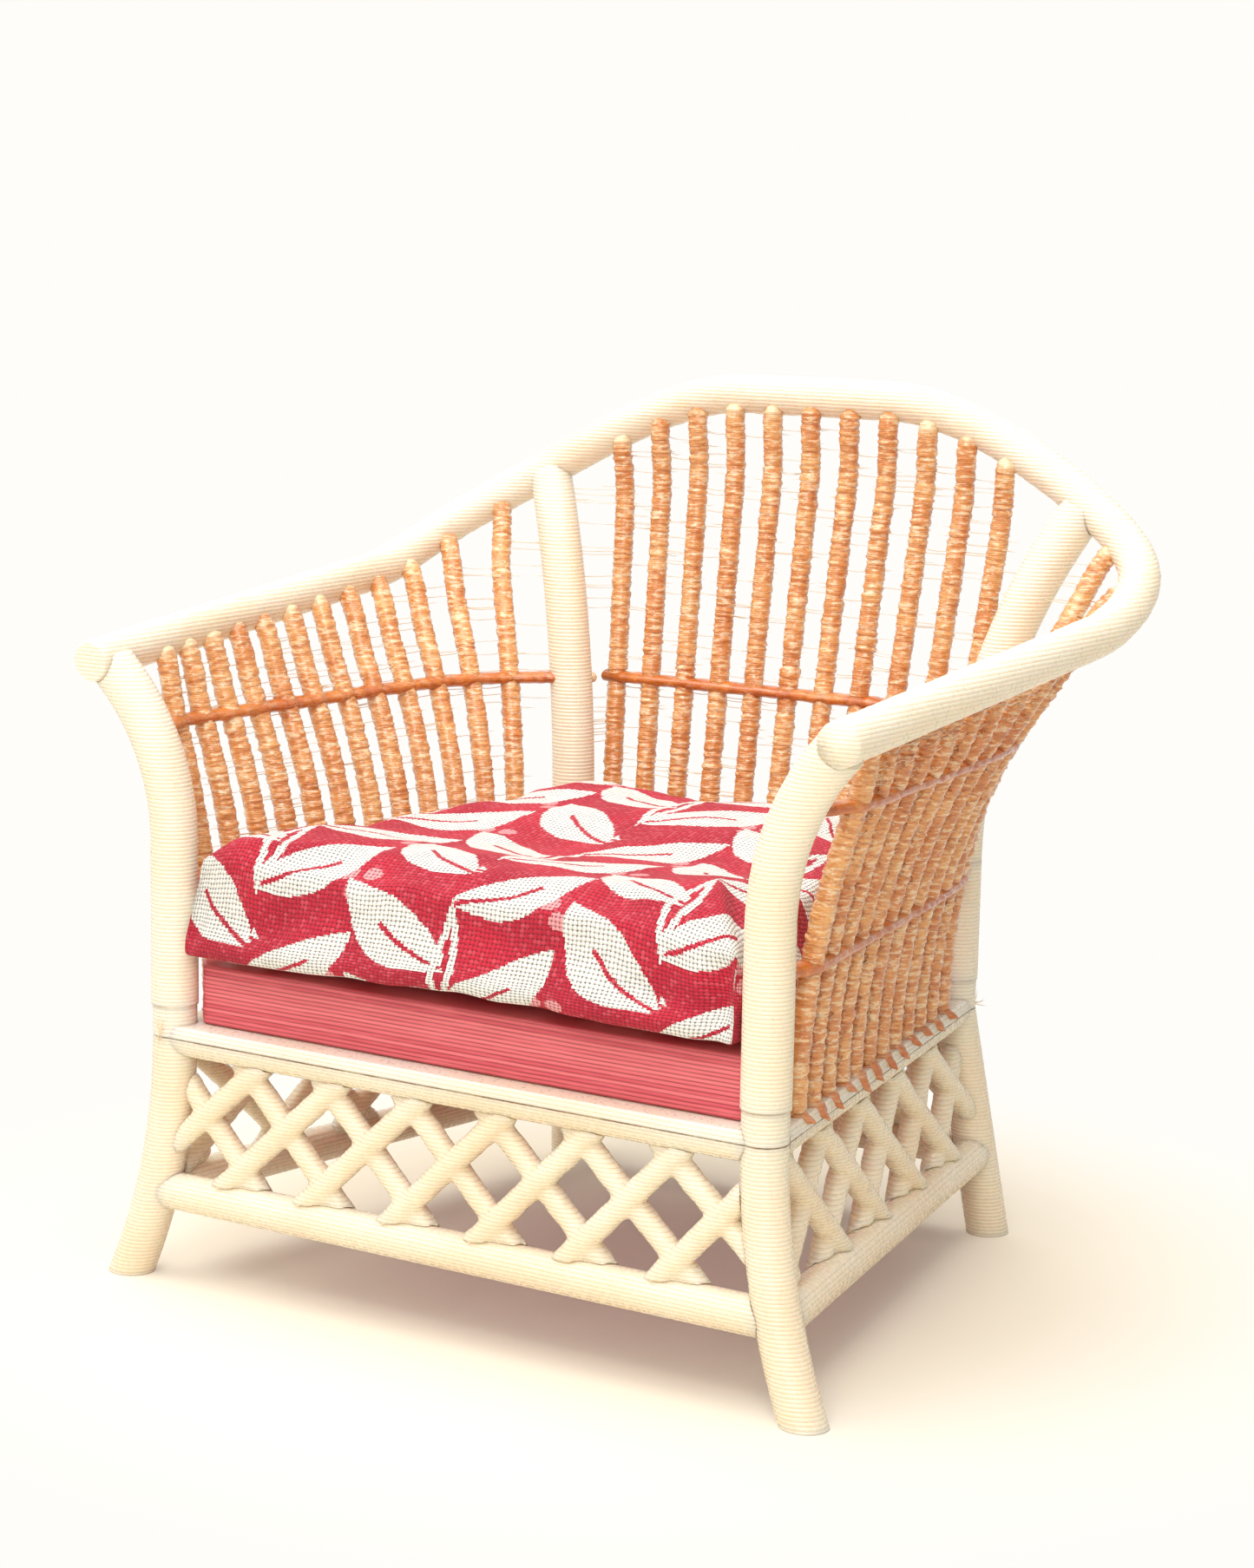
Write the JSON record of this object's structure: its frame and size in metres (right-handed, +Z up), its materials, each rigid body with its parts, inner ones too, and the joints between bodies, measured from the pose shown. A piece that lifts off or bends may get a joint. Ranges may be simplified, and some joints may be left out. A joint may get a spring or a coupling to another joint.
{
  "type": "dolls house armchair",
  "caption": "Dolls' house cane tub armchair: splayed legs, latticed base, flared spindle sides and back under one bent rail, with a loose seat board and a soft cushion.",
  "frame": {"origin": "on the floor under the middle of the chair's plan", "axes": "+Z up, front of the chair towards -Y, +X to the right of someone who looks at its front"},
  "size_m": [0.07, 0.0562, 0.0686],
  "materials": {
    "base_plastic": "glossy ivory printed plastic, slightly translucent, with fine layer lines",
    "frame_plastic": "cream printed plastic with fine level layer lines",
    "spindle_plastic": "amber stain brushed over ribbed printed spindles",
    "binding_plastic": "burnt orange stain on thin rods",
    "board_plastic": "rose red printed plastic with bold level layer lines",
    "cushion_fabric": "crimson plain weave cotton with an off-white print"
  },
  "bodies": {
    "chair": {"leg_front_left": "base_plastic", "leg_front_right": "base_plastic", "leg_back_left": "base_plastic", "leg_back_right": "base_plastic", "base_top_rail_front": "base_plastic", "base_top_rail_back": "base_plastic", "base_top_rail_left": "base_plastic", "base_top_rail_right": "base_plastic", "base_low_rail_front": "base_plastic", "base_low_rail_back": "base_plastic", "base_low_rail_left": "base_plastic", "base_low_rail_right": "base_plastic", "lattice_front": "base_plastic", "lattice_back": "base_plastic", "lattice_left": "base_plastic", "lattice_right": "base_plastic", "collar_front_left": "frame_plastic", "collar_front_right": "frame_plastic", "collar_back_left": "frame_plastic", "collar_back_right": "frame_plastic", "seat_rail_front": "frame_plastic", "seat_rail_back": "frame_plastic", "seat_rail_left": "frame_plastic", "seat_rail_right": "frame_plastic", "arm_post_left": "frame_plastic", "arm_post_right": "frame_plastic", "back_post_left": "frame_plastic", "back_post_right": "frame_plastic", "arm_and_back_rail": "frame_plastic", "spindles_left": "spindle_plastic", "spindles_right": "spindle_plastic", "spindles_back": "spindle_plastic", "binding_rod_left_low": "binding_plastic", "binding_rod_left_high": "binding_plastic", "binding_rod_right_low": "binding_plastic", "binding_rod_right_high": "binding_plastic", "binding_rod_back_low": "binding_plastic", "binding_rod_back_high": "binding_plastic"},
    "board": {"seat_board": "board_plastic"},
    "cushion": {"seat_cushion": "cushion_fabric"}
  },
  "joints": [
    {"name": "board_lift", "type": "slide", "parent": "chair", "child": "board", "axis": [0, 0, 1], "range_m": [0, 0.045]},
    {"name": "cushion_lift", "type": "slide", "parent": "board", "child": "cushion", "axis": [0, 0, 1], "range_m": [0, 0.045]}
  ]
}
